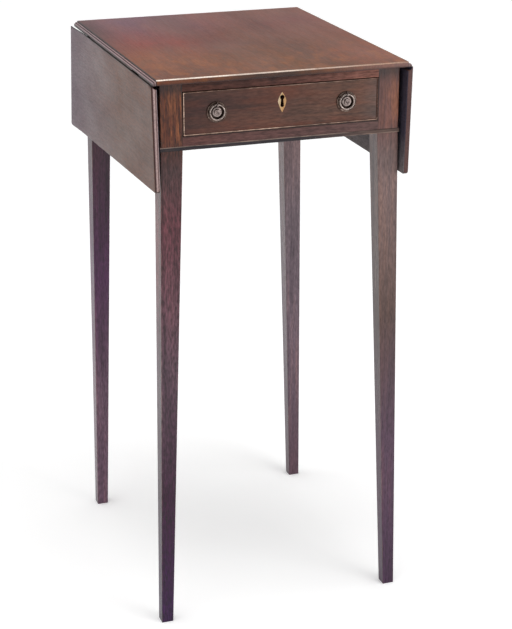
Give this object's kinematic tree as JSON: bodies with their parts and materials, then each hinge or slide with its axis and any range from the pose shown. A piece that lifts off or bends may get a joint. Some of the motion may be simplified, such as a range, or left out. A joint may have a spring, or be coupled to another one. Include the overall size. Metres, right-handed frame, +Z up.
{
  "type": "pembroke table",
  "caption": "Small drop-leaf table: hinged flaps on rule joints, a lockable frieze drawer with ring handles, fly brackets behind the flaps, and square tapered legs.",
  "frame": {"origin": "on the floor, under the middle of the top", "axes": "+Z up; the drawer faces -Y; the flaps hang at -X and +X"},
  "size_m": [0.3266, 0.386, 0.711],
  "materials": {
    "mahogany": "old polished, worn",
    "secondary_wood": "bare, aged",
    "ebonised_wood": "ebonised",
    "pale_inlay": "boxwood inlay, worn",
    "aged_brass": "tarnished, worn bright",
    "old_iron": "dull, oiled"
  },
  "bodies": {
    "frame": {"top_board": "mahogany", "front_left_leg": "mahogany", "front_right_leg": "mahogany", "back_left_leg": "mahogany", "back_right_leg": "mahogany", "front_top_rail": "mahogany", "front_bottom_rail": "mahogany", "back_rail": "mahogany", "left_side_rail": "secondary_wood", "right_side_rail": "secondary_wood", "front_frieze_bead": "ebonised_wood", "back_frieze_bead": "ebonised_wood", "sham_cock_beads": "mahogany", "left_fly_front_block": "secondary_wood", "right_fly_front_block": "secondary_wood", "left_fly_back_block": "secondary_wood", "right_fly_back_block": "secondary_wood", "fly_pins": "old_iron", "fly_screws": "old_iron", "left_hinge_top_leaves": "old_iron", "right_hinge_top_leaves": "old_iron", "hinge_pins": "old_iron", "top_hinge_screws": "old_iron", "left_drawer_runner": "secondary_wood", "right_drawer_runner": "secondary_wood", "left_drawer_kicker": "secondary_wood", "right_drawer_kicker": "secondary_wood", "kicker_screws": "old_iron", "drawer_stops": "secondary_wood", "back_left_handle_plate": "aged_brass", "back_right_handle_plate": "aged_brass", "back_handle_nuts": "aged_brass"},
    "left_flap": {"left_flap": "mahogany", "left_hinge_flap_leaves": "old_iron", "left_flap_screws": "old_iron"},
    "right_flap": {"right_flap": "mahogany", "right_hinge_flap_leaves": "old_iron", "right_flap_screws": "old_iron"},
    "left_fly_bracket": {"left_fly_bracket": "secondary_wood"},
    "right_fly_bracket": {"right_fly_bracket": "secondary_wood"},
    "drawer": {"drawer_front": "mahogany", "left_drawer_side": "secondary_wood", "right_drawer_side": "secondary_wood", "drawer_back": "secondary_wood", "drawer_bottom": "secondary_wood", "drawer_cock_beads": "mahogany", "keyhole_escutcheon": "pale_inlay", "lock_case": "old_iron", "lock_cap": "old_iron", "lock_screws": "old_iron", "drawer_left_handle_plate": "aged_brass", "drawer_right_handle_plate": "aged_brass", "drawer_handle_nuts": "aged_brass"},
    "lock_bolt": {"lock_bolt": "old_iron"},
    "drawer_left_ring": {"drawer_left_ring": "aged_brass"},
    "drawer_right_ring": {"drawer_right_ring": "aged_brass"},
    "back_left_ring": {"back_left_ring": "aged_brass"},
    "back_right_ring": {"back_right_ring": "aged_brass"}
  },
  "joints": [
    {"name": "left_flap_hinge", "type": "hinge", "parent": "frame", "child": "left_flap", "pos_m": [-0.157, 0, 0.7047], "axis": [0, 1, 0], "range_deg": [0, 91.05]},
    {"name": "right_flap_hinge", "type": "hinge", "parent": "frame", "child": "right_flap", "pos_m": [0.157, 0, 0.7047], "axis": [0, -1, 0], "range_deg": [0, 91.05]},
    {"name": "left_fly_swing", "type": "hinge", "parent": "frame", "child": "left_fly_bracket", "pos_m": [-0.1402, -0.014, 0.6635], "axis": [0, 0, 1], "range_deg": [0, 3]},
    {"name": "right_fly_swing", "type": "hinge", "parent": "frame", "child": "right_fly_bracket", "pos_m": [0.1402, -0.014, 0.6635], "axis": [0, 0, -1], "range_deg": [0, 3]},
    {"name": "drawer_slide", "type": "slide", "parent": "frame", "child": "drawer", "axis": [0, -1, 0], "range_m": [0, 0.24]},
    {"name": "bolt_slide", "type": "slide", "parent": "drawer", "child": "lock_bolt", "axis": [0, 0, 1], "range_m": [0, 0.005]},
    {"name": "drawer_left_ring_lift", "type": "hinge", "parent": "drawer", "child": "drawer_left_ring", "pos_m": [-0.0815, -0.1853, 0.675], "axis": [-1, 0, 0], "range_deg": [0, 110]},
    {"name": "drawer_right_ring_lift", "type": "hinge", "parent": "drawer", "child": "drawer_right_ring", "pos_m": [0.0815, -0.1853, 0.675], "axis": [-1, 0, 0], "range_deg": [0, 110]},
    {"name": "back_left_ring_lift", "type": "hinge", "parent": "frame", "child": "back_left_ring", "pos_m": [-0.0815, 0.1853, 0.675], "axis": [1, 0, 0], "range_deg": [0, 110]},
    {"name": "back_right_ring_lift", "type": "hinge", "parent": "frame", "child": "back_right_ring", "pos_m": [0.0815, 0.1853, 0.675], "axis": [1, 0, 0], "range_deg": [0, 110]}
  ]
}
